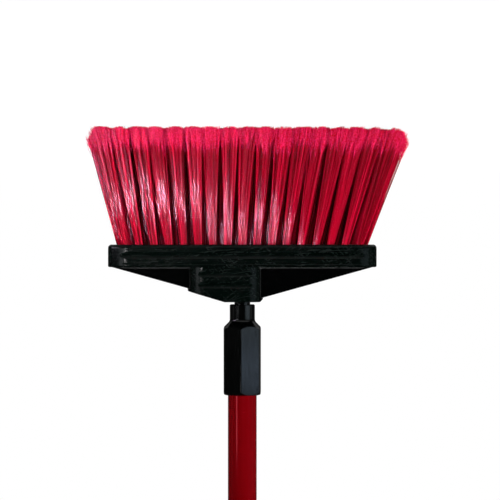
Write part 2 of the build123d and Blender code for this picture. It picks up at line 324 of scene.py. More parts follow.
def within_reach(points):
    """Points in X and Y, held inside the CAD box and the little that soft tips may pass it."""
    return np.clip(points, np.array(cad_low[:2]) - SOFT_REACH, np.array(cad_high[:2]) + SOFT_REACH)


def clumped_spots(tufts, random):
    """Spots of the filaments and of the clumps in each tuft's unit disc, and each filament's nearest clump.

    Both fill the disc evenly, turned by a random angle for each tuft, and the clumps are then scattered.
    """
    turn = random.uniform(0, 2 * np.pi, tufts)
    rotation = np.stack([np.cos(turn), np.sin(turn), -np.sin(turn), np.cos(turn)], -1).reshape(tufts, 2, 2)
    spot = disc_spots(FILAMENTS_PER_TUFT) @ rotation
    scatter = random.normal(0, CLUMP_SCATTER, (tufts, CLUMPS_PER_TUFT, 2))
    clump_spot = disc_spots(CLUMPS_PER_TUFT) @ rotation + scatter
    apart = ((spot[:, :, None] - clump_spot[:, None]) ** 2).sum(axis=-1)
    return spot, clump_spot, apart.argmin(axis=2)


def of_clump(values, clump):
    """For each filament, the value that its clump has."""
    return np.take_along_axis(values, clump.reshape(clump.shape + (1,) * (values.ndim - 2)), axis=1)


def root_points(row, spot):
    """Roots of the filaments of a row: each tuft's disc at root size, inner tufts drawn out in X."""
    xs = row_roots(row)
    size = np.array([INNER_TUFT_HALF_LENGTH if is_inner(row) else TUFT_RADIUS, TUFT_RADIUS])
    middle = np.stack([xs, np.full(len(xs), row_depth(row))], -1)
    root = middle[:, None] + size * spot
    root[:, :, 0] = np.clip(root[:, :, 0], xs[0] - TUFT_RADIUS, xs[-1] + TUFT_RADIUS)
    return np.concatenate([root, np.full(spot.shape[:2] + (1,), TUFT_FACE + ROOT_SINK)], -1)


def tip_points(row, spot, clump_spot, clump, random):
    """Tips of the filaments of a row: each tuft's disc widened to the pitch at the floor, in swaying clumps.

    Their height adds up a dome over the tuft, a lift of the clump, an uneven length and the wear of the
    ends. All are then let down by the trim level, and cut off level just above the floor.
    """
    xs = row_roots(row)
    tufts, count = clump.shape
    centre = of_clump(clump_spot, clump)
    gathered = centre + CLUMP_GATHER * (spot - centre)
    stray = random.uniform(0, 1, (tufts, count, 1)) < STRAY_SHARE
    at_end = (np.arange(tufts) % (tufts - 1) == 0)[:, None, None]
    loose = random.normal(0, 1, spot.shape) * np.where(stray & ~at_end, STRAY_SCATTER, LOOSE_SCATTER)
    sway = of_clump(random.normal(0, TIP_SWAY, clump_spot.shape), clump)
    sway = sway + random.normal(0, TIP_SWAY, (tufts, 1, 2))
    half_pitch = np.array([xs[1] - xs[0], row_depth(1) - row_depth(0)]) / 2 * [LENGTH_FLARE, DEPTH_FLARE]
    middle = np.stack([xs * LENGTH_FLARE + TIP_DRIFT, np.full(tufts, row_depth(row) * DEPTH_FLARE)], -1)
    widened = gathered * half_pitch * random.uniform(*TUFT_SPREAD, (tufts, 1, 1))
    tip = within_reach(middle[:, None] + widened + sway + loose)

    dome = DOME_HEIGHT * (spot**2).sum(axis=-1) * random.uniform(*DOME_RANGE, (tufts, 1))
    clump_lift = of_clump(np.abs(random.normal(0, CLUMP_LIFT, (tufts, CLUMPS_PER_TUFT))), clump)
    uneven = random.gamma(UNEVEN_SHAPE, FILAMENT_UNEVEN, (tufts, count))
    height = dome + clump_lift + uneven + tip_lift(tip[:, :, 0])
    height = np.maximum(height + is_inner(row) * INNER_TIP_LIFT - TRIM_LEVEL, SHORTEST_STAND)
    return np.concatenate([tip, height[:, :, None]], -1)


def filament_looks(clump, random):
    """Tone of each filament, and the share of its length where it splits, both alike within a clump."""
    tufts, count = clump.shape
    clumps = (tufts, CLUMPS_PER_TUFT)
    tone = CLUMP_TONE * of_clump(random.uniform(0, 1, clumps), clump)
    tone = tone + FILAMENT_TONE * random.uniform(0, 1, (tufts, count))
    tone = np.clip(0.5 + TONE_CONTRAST * (tone - 0.5), 0, 1)
    split = of_clump(random.normal(0, CLUMP_START_SPREAD, clumps), clump)
    split = split + random.normal(0, TUFT_START_SPREAD, (tufts, 1))
    split = split + random.normal(FLAG_START, FILAMENT_START_SPREAD, (tufts, count))
    return tone, np.clip(split, *FLAG_START_LIMITS)


def outer_share(root):
    """Mask of the outside filaments, spared the painted shade: those of the outer rows, and the ends of all
    rows.
    """
    by_depth = smoothstep(*OUTER_DEPTH, np.abs(root[:, :, 1]) / row_depth(ROW_COUNT - 1))
    by_length = smoothstep(*OUTER_LENGTH, np.abs(root[:, :, 0]) / row_roots(1)[-1])
    return np.maximum(by_depth, by_length)


def tuft_paths(row, random):
    """Ends, bow and looks of all the filaments of a row, each as an array with one entry for a filament.

    A filament runs from its spot at the root of the tuft to a like spot of the widened tuft at the floor.
    Spots near each other share a clump, which draws together, sways and is toned much alike, so that small
    gaps open between the clumps.
    """
    tufts = len(row_roots(row))
    spot, clump_spot, clump = clumped_spots(tufts, random)
    tip = tip_points(row, spot, clump_spot, clump, random)
    root = root_points(row, spot)
    bow = random.normal(0, FILAMENT_BOW, spot.shape) + random.normal(0, TUFT_BOW, (tufts, 1, 2))
    bow = np.concatenate([bow, np.zeros(clump.shape + (1,))], -1)
    tone, split = filament_looks(clump, random)
    outer = outer_share(root)
    return [v.reshape(-1, *v.shape[2:]) for v in (root, tip, bow, tone, split, outer)]


def path_points(root, tip, bow, share):
    """Points at shares t of the way from root to tip: the straight line plus 4 t (1 - t) times the bow."""
    t = share[..., None]
    return root[..., None, :] * (1 - t) + tip[..., None, :] * t + bow[..., None, :] * 4 * t * (1 - t)


def filament_stems(paths, rings, random):
    """Tubes along the filaments, each with a radius of its own that tapers towards the tip."""
    count = len(paths)
    taper = 1 - FILAMENT_TAPER * smoothstep(TAPER_START, 1.0, rings)
    radii = FILAMENT_RADIUS * random.uniform(*RADIUS_RANGE, (count, 1)) * taper
    return tubes(paths, radii, random.uniform(0, 2 * np.pi, count))


def split_tips(start, tip, rings, random):
    """Fine tubes from where the filaments split to ends that splay about their tips, each with a crimp."""
    count = len(start)
    splay = random.normal(0, FLAG_SPLAY, (count, 3)) * [1, 1, 0]
    end = tip + splay + random.gamma(UNEVEN_SHAPE, FLAG_UNEVEN, (count, 1)) * [0, 0, 1]
    end[:, :2] = within_reach(end[:, :2])
    crimp = random.normal(0, FLAG_CRIMP, (count, 3)) * [1, 1, 0]
    paths = path_points(start, end, crimp, rings)
    return tubes(paths, FLAG_RADIUS * (1 - FLAG_TAPER * rings), random.uniform(0, 2 * np.pi, count))


def at_points(of_filament, of_flag):
    """A number for each vertex of a row, from one for each filament and one for each flag."""
    at_stems = np.repeat(of_filament, TUBE_SIDES * len(FILAMENT_RINGS))
    return np.concatenate([at_stems, np.repeat(of_flag, TUBE_SIDES * len(FLAG_RINGS))])


def at_rings(of_filament, of_flag):
    """A number for each vertex of a row, from one for each ring of the filaments and of the flags."""
    return np.concatenate([np.repeat(v, TUBE_SIDES, axis=1).ravel() for v in (of_filament, of_flag)])


def end_rings(rings):
    """Whether each ring of a set of tubes is the first or last of its tube."""
    return ((rings == 0) | (rings == 1)).ravel()


def crease_rims(piece, is_end):
    """Marks the rim of each tube end as a sharp edge, so that the sides are shaded round to their ends."""
    mesh = piece.data
    edges = np.empty(2 * len(mesh.edges), np.int32)
    mesh.edges.foreach_get("vertices", edges)
    ring = edges.reshape(-1, 2) // TUBE_SIDES
    sharp = (ring[:, 0] == ring[:, 1]) & is_end[ring[:, 0]]
    mesh.attributes.new("sharp_edge", "BOOLEAN", "EDGE").data.foreach_set("value", sharp)


def bake_map(piece, filament, along, count):
    """Lays each filament along a column of the bake map, where the columns fill bands above each other."""
    columns = math.ceil(count / MAP_BANDS)
    side = np.tile(np.arange(TUBE_SIDES), len(filament) // TUBE_SIDES)
    across = (filament % columns + COLUMN_EDGE + COLUMN_STEP * side) / columns
    up = (filament // columns + BAND_EDGE + BAND_RUN * along) / MAP_BANDS
    layer = piece.data.uv_layers.new(name="OFBake")
    corner = np.empty(len(piece.data.loops), np.int32)
    piece.data.loops.foreach_get("vertex_index", corner)
    layer.uv.foreach_set("vector", np.stack([across, up], -1)[corner].astype(np.float32).ravel())


def bristle_row(row):
    """One row of tufts: every filament a tapering tube, with finer flags splayed from its split tip."""
    random = np.random.default_rng(RANDOM_SEED + row)
    root, tip, bow, tone, split, outer = tuft_paths(row, random)
    count = len(root)
    rings = np.broadcast_to(FILAMENT_RINGS, (count, len(FILAMENT_RINGS)))
    stem = filament_stems(path_points(root, tip, bow, rings), rings, random)

    owner = np.repeat(np.arange(count), FLAGS_PER_FILAMENT)
    flags = len(owner)
    flag_split = split[owner] + random.normal(0, FLAG_START_SPREAD, flags)
    start = path_points(root[owner], tip[owner], bow[owner], flag_split[:, None])[:, 0]
    flag_rings = np.broadcast_to(FLAG_RINGS, (flags, len(FLAG_RINGS)))
    hair = split_tips(start, tip[owner], flag_rings, random)

    shift = len(stem[0])
    points = np.concatenate([stem[0], hair[0]])
    faces = [np.concatenate([stem[1], hair[1] + shift]), np.concatenate([stem[2], hair[2] + shift])]
    piece = build_mesh(f"bristles_row_{row + 1}", points, faces, [True, False])
    crease_rims(piece, np.concatenate([end_rings(rings), end_rings(flag_rings)]))

    along = at_rings(rings, flag_split[:, None] + (1 - flag_split[:, None]) * flag_rings)
    flag_tone = FLAG_FILAMENT_TONE * tone[owner] + FLAG_OWN_TONE * random.uniform(0, 1, flags)
    point_attribute(piece, "along", along)
    point_attribute(piece, "tone", at_points(tone, flag_tone))
    point_attribute(piece, "split", at_points(split, flag_split))
    point_attribute(piece, "outer", at_points(outer, outer[owner]))
    bake_map(piece, at_points(np.arange(count), owner), along, count)
    return piece


def tuft_bed():
    """Plate that closes the tuft face: a rounded rectangle, as a bottom and a top ring with capped faces.

    The outline's corner arcs turn about centres set in from the sides by the corner radius.
    """
    arc = np.linspace(0, np.pi / 2, BED_ARC_POINTS)
    radius = BLOCK_CORNER_RADIUS - BED_RIM
    half = np.array([head_high.x - BED_RIM - radius, head_high.y - BED_RIM - radius])
    signs = np.array([[1, 1], [-1, 1], [-1, -1], [1, -1]])
    turns = np.arange(4)[:, None] * np.pi / 2 + arc
    outline = signs[:, None, :] * half + radius * np.stack([np.cos(turns), np.sin(turns)], -1)
    outline = outline.reshape(-1, 2)
    count = len(outline)
    low = np.column_stack([outline, np.full(count, TUFT_FACE)])
    high = np.column_stack([outline, np.full(count, TUFT_FACE + BED_THICKNESS)])
    index = np.arange(count)
    after = np.roll(index, -1)
    walls = np.stack([index, after, after + count, index + count], -1)
    caps = np.stack([index[::-1], index + count])
    return build_mesh("tuft_bed", np.concatenate([low, high]), [walls, caps], [False, False])


def empty_material(name):
    """A node material with nothing but its output."""
    material = bpy.data.materials.new(name)
    material.use_nodes = True
    tree = material.node_tree
    tree.nodes.clear()
    output = tree.nodes.new("ShaderNodeOutputMaterial")
    return material, tree, output


def new_material(name):
    """A node material with its output and one Principled shader."""
    material, tree, output = empty_material(name)
    shader = tree.nodes.new("ShaderNodeBsdfPrincipled")
    tree.links.new(shader.outputs["BSDF"], output.inputs["Surface"])
    return material, tree, shader


def put(tree, socket, value):
    """Writes a plain value to a socket, or links another socket to it."""
    if isinstance(value, bpy.types.NodeSocket):
        tree.links.new(value, socket)
    else:
        socket.default_value = value


def put_all(tree, node, values):
    """Writes or links the named inputs of a node."""
    for name, value in values.items():
        put(tree, node.inputs[name], value)


def add_node(tree, kind, **inputs):
    """A shader node with some of its inputs written or linked."""
    node = tree.nodes.new(kind)
    put_all(tree, node, inputs)
    return node


def noise(tree, vector, scale, detail=3.0):
    """Value of a noise texture at a point."""
    inputs = {"Vector": vector, "Scale": scale, "Detail": detail, "Roughness": NOISE_ROUGHNESS}
    return add_node(tree, "ShaderNodeTexNoise", **inputs).outputs["Fac"]


def stretched(tree, vector, stretch):
    """A point with each coordinate multiplied, so that a pattern runs longer where the factor is small."""
    return add_node(tree, "ShaderNodeMapping", Vector=vector, Scale=stretch).outputs["Vector"]


def turned(tree, vector, degrees):
    """A point turned about the Y axis."""
    rotation = (0, math.radians(degrees), 0)
    return add_node(tree, "ShaderNodeMapping", Vector=vector, Rotation=rotation).outputs["Vector"]


def ramp(tree, value, low, high, to_low=0.0, to_high=1.0):
    """A value's smooth step between two levels, spread over two outcomes."""
    node = tree.nodes.new("ShaderNodeMapRange")
    node.interpolation_type = "SMOOTHSTEP"
    limits = {"From Min": low, "From Max": high, "To Min": to_low, "To Max": to_high}
    put_all(tree, node, {"Value": value, **limits})
    return node.outputs["Result"]


def mix_colour(tree, share, first, second):
    """Share of the way from one colour to another."""
    node = tree.nodes.new("ShaderNodeMix")
    node.data_type = "RGBA"
    put_all(tree, node, {"Factor": share, "A": first, "B": second})
    return next(o for o in node.outputs if o.type == "RGBA")


def maths(tree, operation, first, second=0.0):
    """One arithmetic step on two values."""
    node = tree.nodes.new("ShaderNodeMath")
    node.operation = operation
    put(tree, node.inputs[0], first)
    put(tree, node.inputs[1], second)
    return node.outputs["Value"]


def weighted(tree, first, first_weight, second, second_weight):
    """Sum of two values, each times its weight."""
    first_part = maths(tree, "MULTIPLY", first, first_weight)
    return maths(tree, "ADD", first_part, maths(tree, "MULTIPLY", second, second_weight))


def bump(tree, height, distance):
    """Normal of a surface raised by a height from 0 to 1, over a distance in metres."""
    return add_node(tree, "ShaderNodeBump", Height=height, Distance=distance).outputs["Normal"]


def object_point(tree):
    """The point in the frame of the part."""
    return tree.nodes.new("ShaderNodeTexCoord").outputs["Object"]


def attribute_value(tree, name):
    """A number that the mesh keeps for each vertex."""
    node = tree.nodes.new("ShaderNodeAttribute")
    node.attribute_name = name
    return node.outputs["Fac"]


def effect_group(name, output, **inputs):
    """A shader node group with one output value, and inputs that are numbers or vectors like their defaults.

    Returns its tree, the sockets that it is given, and the socket for its result.
    """
    tree = bpy.data.node_groups.new(name, "ShaderNodeTree")
    for label, value in inputs.items():
        kind = "NodeSocketVector" if isinstance(value, tuple) else "NodeSocketFloat"
        socket = tree.interface.new_socket(name=label, in_out="INPUT", socket_type=kind)
        socket.default_value = value
    tree.interface.new_socket(name=output, in_out="OUTPUT", socket_type="NodeSocketFloat")
    given = tree.nodes.new("NodeGroupInput").outputs
    result = tree.nodes.new("NodeGroupOutput").inputs[output]
    return tree, given, result


def effect(tree, group, **inputs):
    """The value of a shared effect, placed in a material with its own inputs."""
    node = tree.nodes.new("ShaderNodeGroup")
    node.node_tree = group
    put_all(tree, node, inputs)
    return node.outputs[0]


def grain_group():
    """Fine spark-eroded grain: two layers of noise, the second finer and fainter."""
    tree, given, result = effect_group("fine_grain", "Height", Point=(0, 0, 0), Scale=1500.0)
    finer = maths(tree, "MULTIPLY", given["Scale"], GRAIN_FINER)
    coarse = noise(tree, given["Point"], given["Scale"], detail=2.0)
    fine = noise(tree, given["Point"], finer, detail=1.0)
    put(tree, result, weighted(tree, coarse, COARSE_GRAIN, fine, FINE_GRAIN))
    return tree


def streak_group():
    """Long streaks: noise drawn out along the axes whose stretch factor is small."""
    inputs = {"Point": (0, 0, 0), "Stretch": (1, 1, 1), "Scale": 900.0}
    tree, given, result = effect_group("flow_streaks", "Streak", **inputs)
    drawn_out = stretched(tree, given["Point"], given["Stretch"])
    put(tree, result, noise(tree, drawn_out, given["Scale"], detail=4.0))
    return tree


def scratch_group():
    """Hair scratches crossing at three angles, denser where a broad noise is high."""
    inputs = {"Point": (0, 0, 0), "Scale": 900.0, "Share": 0.5}
    tree, given, result = effect_group("crossed_scratches", "Mask", **inputs)
    level = ramp(tree, given["Share"], 0.0, 1.0, *SCRATCH_LEVELS)
    full = maths(tree, "ADD", level, SCRATCH_EDGE)
    scratches = 0.0
    for angle in SCRATCH_ANGLES:
        drawn_out = stretched(tree, turned(tree, given["Point"], angle), SCRATCH_STRETCH)
        line = noise(tree, drawn_out, given["Scale"], detail=1.0)
        scratches = maths(tree, "MAXIMUM", scratches, ramp(tree, line, level, full))
    worn = ramp(tree, noise(tree, given["Point"], WEAR_SCALE), *WEAR_LEVELS, to_low=WEAR_LEAST)
    put(tree, result, maths(tree, "MULTIPLY", scratches, worn))
    return tree


def nearness_group(name, inside, levels, patch_scale, patch_levels, faintest):
    """Mask of the places whose rays soon strike the piece again, broken into patches by a noise.

    Rays cast into the solid find its edges, and rays cast outwards find its inner corners.
    """
    tree, given, result = effect_group(name, "Mask", Point=(0, 0, 0), Width=0.001)
    rays = add_node(tree, "ShaderNodeAmbientOcclusion", Distance=given["Width"])
    rays.inside = inside
    rays.only_local = True
    rays.samples = RAY_SAMPLES
    struck = ramp(tree, maths(tree, "SUBTRACT", 1.0, rays.outputs["AO"]), *levels)
    broken = ramp(tree, noise(tree, given["Point"], patch_scale), *patch_levels, to_low=faintest)
    put(tree, result, maths(tree, "MULTIPLY", struck, broken))
    return tree


def dust_group():
    """Settled dust: patches of fine specks."""
    tree, given, result = effect_group("settled_dust", "Mask", Point=(0, 0, 0), Share=0.4)
    level = ramp(tree, given["Share"], 0.0, 1.0, *DUST_LEVELS)
    full = maths(tree, "ADD", level, DUST_EDGE)
    specks = ramp(tree, noise(tree, given["Point"], DUST_SPECK_SCALE, detail=2.0), level, full)
    patch = ramp(tree, noise(tree, given["Point"], DUST_PATCH_SCALE), *DUST_PATCH_LEVELS)
    put(tree, result, maths(tree, "MULTIPLY", specks, patch))
    return tree


def bristle_material():
    """Crimson synthetic bristle, toned filament by filament, pinker at the split tips, partly for their
    scatter and partly as painted light.

    Filaments in the midst of the others get painted shade, deeper in colour and nearly black towards their
    roots.
    """
    dull_body = (0.17, 0.0004, 0.004, 1)
    bright_body = (0.62, 0.003, 0.03, 1)
    dull_painted_shade = (0.035, 0.0001, 0.0006, 1)
    bright_painted_shade = (0.14, 0.0006, 0.005, 1)
    root_painted_shade = (0.003, 0.00003, 0.0001, 1)
    dull_tip = (0.68, 0.0003, 0.006, 1)
    bright_tip = (1.0, 0.024, 0.17, 1)
    material, tree, shader = new_material("crimson_bristle")
    along = attribute_value(tree, "along")
    tone = attribute_value(tree, "tone")
    split = attribute_value(tree, "split")
    outer = attribute_value(tree, "outer")
    body = mix_colour(tree, tone, dull_body, bright_body)
    # Painted shade: filaments in the midst of the others are darkened, nearly black towards their roots
    inside = mix_colour(tree, tone, dull_painted_shade, bright_painted_shade)
    inside = mix_colour(tree, ramp(tree, along, *ROOT_SHADE_FADE), root_painted_shade, inside)
    stem = mix_colour(tree, outer, inside, body)
    # Painted light and shade: a noise lightens and darkens the split tips as if their crinkles caught the
    # light
    crinkle_light_and_shade = ramp(tree, noise(tree, object_point(tree), CRINKLE_SCALE, detail=1.0), *CRINKLE_LEVELS)
    # The paler colour of the split tips is partly their own scatter and partly painted light
    tip = mix_colour(tree, weighted(tree, tone, TIP_TONE, crinkle_light_and_shade, TIP_CRINKLE_SHADE), dull_tip, bright_tip)
    fade_start = maths(tree, "SUBTRACT", split, FLAG_FADE_BEFORE)
    fade_end = maths(tree, "ADD", split, FLAG_FADE_AFTER)
    flagged = ramp(tree, along, fade_start, fade_end)
    put(tree, shader.inputs["Base Color"], mix_colour(tree, flagged, stem, tip))
    put(tree, shader.inputs["Roughness"], ramp(tree, tone, 0.0, 1.0, to_low=0.11, to_high=0.06))
    put_all(tree, shader, {"IOR": 1.55, "Specular IOR Level": 1.0, "Specular Tint": (1.0, 0.5, 0.74, 1)})
    return material


def moulded_plastic(
    name, face, worn, line, roughness, specular, stretch, scratched,
    painted_recess_shade=None, recess_roughness=None, proud_faces_mask=None,
):
    """Black moulded plastic: grain, flow streaks, crossed hair scratches, worn edges and a little dust.

    Its colours are those of the faces, of scratches and dust, and of thin lines along edges and corners:
    the edge lines are partly wear and partly painted highlight, and the corner lines are painted highlight.
    Where a mask of proud faces is given, those colours of wear keep to them, and the recesses have a darker
    colour that is painted shade, a roughness of their own, and a painted highlight line in their corners.
    """
    material, tree, shader = new_material(name)
    point = object_point(tree)
    proud_share = proud_faces_mask(tree, point) if proud_faces_mask else 1.0
    grain = effect(tree, fine_grain, Point=point, Scale=PLASTIC_GRAIN)
    streak = effect(tree, flow_streaks, Point=point, Stretch=stretch, Scale=PLASTIC_STREAKS)
    scratch = effect(tree, crossed_scratches, Point=point, Scale=PLASTIC_SCRATCHES, Share=scratched)
    edge = effect(tree, edge_wear_and_highlight, Point=point, Width=EDGE_WIDTH)
    dust = effect(tree, settled_dust, Point=point, Share=PLASTIC_DUST)
    corner = effect(tree, inner_corners, Point=point, Width=CREASE_WIDTH)

    marks = maths(tree, "MAXIMUM", maths(tree, "MULTIPLY", scratch, SCRATCH_TINT), dust)
    marks = maths(tree, "MULTIPLY", marks, proud_share)
    # Painted highlight: pale lines in the inner corners of the recesses, and along edges where they are
    # partly wear
    crease_highlight = maths(tree, "MULTIPLY", corner, maths(tree, "SUBTRACT", 1.0, proud_share))
    lines = maths(tree, "MAXIMUM", crease_highlight, maths(tree, "MULTIPLY", edge, EDGE_TINT))
    # Painted shade: the recesses take a darker colour than the proud faces
    base = mix_colour(tree, marks, mix_colour(tree, proud_share, painted_recess_shade or face, face), worn)
    put(tree, shader.inputs["Base Color"], mix_colour(tree, lines, base, line))

    level = ramp(tree, proud_share, 0.0, 1.0, recess_roughness or roughness, roughness)
    uneven = ramp(tree, streak, *NOISE_MIDDLE, -STREAK_ROUGHNESS, STREAK_ROUGHNESS)
    uneven = maths(tree, "ADD", uneven, maths(tree, "MULTIPLY", scratch, SCRATCH_ROUGHNESS))
    put(tree, shader.inputs["Roughness"], maths(tree, "ADD", level, uneven))
    relief = maths(tree, "SUBTRACT", grain, maths(tree, "MULTIPLY", scratch, SCRATCH_DEPTH))
    put(tree, shader.inputs["Normal"], bump(tree, relief, PLASTIC_RELIEF))
    put(tree, shader.inputs["Specular IOR Level"], specular)
    return material


def proud_faces(tree, point):
    """Mask of the proud faces, which get worn and are spared the painted shade: the whole block, and above
    it what stands out past the yoke.
    """
    place = add_node(tree, "ShaderNodeSeparateXYZ", Vector=point)
    depth = maths(tree, "ABSOLUTE", place.outputs["Y"])
    standing_out = ramp(tree, depth, *PROUD_DEPTHS)
    block = ramp(tree, place.outputs["Z"], BLOCK_TOP, BLOCK_TOP + BLOCK_TOP_BLEND, to_low=1.0, to_high=0.0)
    return maths(tree, "MAXIMUM", standing_out, block)


def head_finish():
    """Satin black of the head with a greenish cast, scuffed on its proud faces, its recesses in painted
    shade.
    """
    return moulded_plastic(
        "head_plastic",
        face=(0.0002, 0.0012, 0.0008, 1),
        worn=(0.0048, 0.0072, 0.0064, 1),
        # A pale line colour, partly wear and partly painted highlight
        line=(0.05, 0.051, 0.0505, 1),
        roughness=0.23,
        specular=0.15,
        stretch=(0.05, 1.0, 1.0),
        scratched=0.62,
        painted_recess_shade=(0.0002, 0.0003, 0.0003, 1),
        recess_roughness=0.16,
        proud_faces_mask=proud_faces,
    )


def tip_finish():
    """Smooth black of the handle tip."""
    return moulded_plastic(
        "tip_plastic",
        face=(0.0002, 0.0003, 0.0003, 1),
        worn=(0.0025, 0.003, 0.0035, 1),
        line=(0.004, 0.0045, 0.005, 1),
        roughness=0.15,
        specular=0.6,
        stretch=(1.0, 1.0, 0.08),
        scratched=0.3,
    )


def cap_finish():
    """Duller black of the hanging cap."""
    return moulded_plastic(
        "cap_plastic",
        face=(0.0012, 0.0013, 0.0014, 1),
        worn=(0.009, 0.0095, 0.01, 1),
        line=(0.012, 0.0125, 0.013, 1),
        roughness=0.36,
        specular=0.4,
        stretch=(1.0, 1.0, 0.2),
        scratched=0.4,
    )


def gloss_paint():
    """Deep red stoved paint on the tube, with a faint orange peel, hair scratches and a little dust."""
    dark_red = (0.1, 0.0002, 0.001, 1)
    light_red = (0.128, 0.0003, 0.002, 1)
    scratched_red = (0.2, 0.006, 0.012, 1)
    dust_grey = (0.3, 0.2, 0.19, 1)
    material, tree, shader = new_material("red_tube_paint")
    point = object_point(tree)
    cloud = noise(tree, point, scale=12.0)
    peel = effect(tree, fine_grain, Point=point, Scale=420.0)
    scratch = effect(tree, crossed_scratches, Point=point, Scale=700.0, Share=0.3)
    dust = effect(tree, settled_dust, Point=point, Share=0.25)
    scratch_tint = maths(tree, "MULTIPLY", scratch, 0.4)
    scratch_haze = maths(tree, "MULTIPLY", scratch, 0.2)
    dust_tint = maths(tree, "MULTIPLY", dust, 0.12)
    paint = mix_colour(tree, cloud, dark_red, light_red)
    paint = mix_colour(tree, scratch_tint, paint, scratched_red)
    put(tree, shader.inputs["Base Color"], mix_colour(tree, dust_tint, paint, dust_grey))
    gloss = ramp(tree, cloud, *NOISE_MIDDLE, to_low=0.09, to_high=0.13)
    put(tree, shader.inputs["Roughness"], maths(tree, "ADD", gloss, scratch_haze))
    put(tree, shader.inputs["Normal"], bump(tree, peel, distance=0.000006))
    put_all(tree, shader, {"Specular IOR Level": 0.4, "Specular Tint": (1.0, 0.1, 0.15, 1)})
    put_all(tree, shader, {"Coat Weight": 0.01, "Coat Roughness": 0.05})
    return material


def bare_steel(name, stretch):
    """Drawn steel wire and pin stock: bright draw lines, with fine grain and a few scratches."""
    dark_steel = (0.38, 0.38, 0.39, 1)
    light_steel = (0.62, 0.62, 0.63, 1)
    scratched_steel = (0.72, 0.72, 0.73, 1)
    material, tree, shader = new_material(name)
    point = object_point(tree)
    drawn = effect(tree, flow_streaks, Point=point, Stretch=stretch, Scale=2200.0)
    grain = effect(tree, fine_grain, Point=point, Scale=2600.0)
    scratch = effect(tree, crossed_scratches, Point=point, Scale=1500.0, Share=0.4)
    steel = mix_colour(tree, drawn, dark_steel, light_steel)
    put(tree, shader.inputs["Base Color"], mix_colour(tree, scratch, steel, scratched_steel))
    put(tree, shader.inputs["Roughness"], ramp(tree, drawn, *NOISE_MIDDLE, to_low=0.28, to_high=0.42))
    put(tree, shader.inputs["Normal"], bump(tree, maths(tree, "ADD", grain, drawn), distance=0.000008))
    put(tree, shader.inputs["Metallic"], 1.0)
    return material


def dress(piece, material):
    """Gives a piece one material."""
    piece.data.materials.clear()
    piece.data.materials.append(material)


def camera_at_photo():
    """Level camera before the front, turned upside down as the photograph shows the bristles on top."""
    data = bpy.data.cameras.new("camera")
    data.sensor_width = SENSOR_WIDTH
    data.lens = SENSOR_WIDTH * CAMERA_DISTANCE / FRAME_WIDTH
    data.clip_end = CAMERA_REACH
    camera = bpy.data.objects.new("camera", data)
    axes = Matrix(((-1, 0, 0), (0, 0, -1), (0, -1, 0))).to_4x4()
    camera.matrix_world = Matrix.Translation(FRAME_CENTRE - Vector((0, CAMERA_DISTANCE, 0))) @ axes
    bpy.context.scene.collection.objects.link(camera)
    bpy.context.scene.camera = camera


def studio_world():
    """White to the camera; reflections show the walls beside and behind the object, and the rest is dim."""
    world = bpy.data.worlds.new("studio")
    bpy.context.scene.world = world
    world.use_nodes = True
    tree = world.node_tree
    background = tree.nodes["Background"]
    background.inputs["Color"].default_value = (*WHITE, 1)
    path = tree.nodes.new("ShaderNodeLightPath")
    direction = tree.nodes.new("ShaderNodeTexCoord").outputs["Generated"]
    split = add_node(tree, "ShaderNodeSeparateXYZ", Vector=direction)
    side_start, side_full = SIDE_WALL_SPAN
    behind = ramp(tree, split.outputs["Y"], *BACK_WALL_SPAN, *BACK_WALL_LEVELS)
    left = ramp(tree, split.outputs["X"], side_start, side_full, 0.0, LEFT_WALL_LEVEL)
    right = ramp(tree, split.outputs["X"], -side_full, -side_start, RIGHT_WALL_LEVEL, 0.0)
    backdrop = maths(tree, "MAXIMUM", behind, maths(tree, "ADD", left, right))
    mirrored = maths(tree, "MAXIMUM", path.outputs["Is Glossy Ray"], path.outputs["Is Transmission Ray"])
    shown = maths(tree, "MULTIPLY", mirrored, backdrop)
    seen = maths(tree, "MAXIMUM", path.outputs["Is Camera Ray"], shown)
    ambient = maths(tree, "MULTIPLY", maths(tree, "SUBTRACT", 1.0, mirrored), AMBIENT_LEVEL)
    put(tree, background.inputs["Strength"], maths(tree, "MAXIMUM", seen, ambient))


def floor_material():
    """Pale matte that glows nearly white to the camera, and in reflections shows only near the object."""
    material, tree, output = empty_material("pale_floor")
    path = tree.nodes.new("ShaderNodeLightPath")
    reach = add_node(tree, "ShaderNodeVectorMath", Vector=object_point(tree))
    reach.operation = "LENGTH"
    mirrored = ramp(tree, reach.outputs["Value"], *FLOOR_MIRROR_REACH, *FLOOR_MIRROR_LEVELS)
    hidden = maths(tree, "MULTIPLY", path.outputs["Is Glossy Ray"], maths(tree, "SUBTRACT", 1.0, mirrored))
    shade = mix_colour(tree, hidden, (FLOOR_SHADE, FLOOR_SHADE, FLOOR_SHADE, 1), (0, 0, 0, 1))
    matte = add_node(tree, "ShaderNodeBsdfDiffuse", Color=shade)
    glow = add_node(tree, "ShaderNodeEmission", Color=(*WHITE, 1), Strength=FLOOR_GLOW)
    blend = tree.nodes.new("ShaderNodeMixShader")
    put(tree, blend.inputs[0], maths(tree, "MULTIPLY", path.outputs["Is Camera Ray"], FLOOR_GLOW_SHARE))
    tree.links.new(matte.outputs[0], blend.inputs[1])
    tree.links.new(glow.outputs[0], blend.inputs[2])
    tree.links.new(blend.outputs[0], output.inputs["Surface"])
    return material


def studio_floor():
    """Square floor just under the tips."""
    square = np.array([[-1, -1, 0], [1, -1, 0], [1, 1, 0], [-1, 1, 0]])
    corners = FLOOR_HALF * square - [0, 0, FLOOR_DROP]
    floor = build_mesh("floor", corners, [np.array([[0, 1, 2, 3]])], [False])
    dress(floor, floor_material())


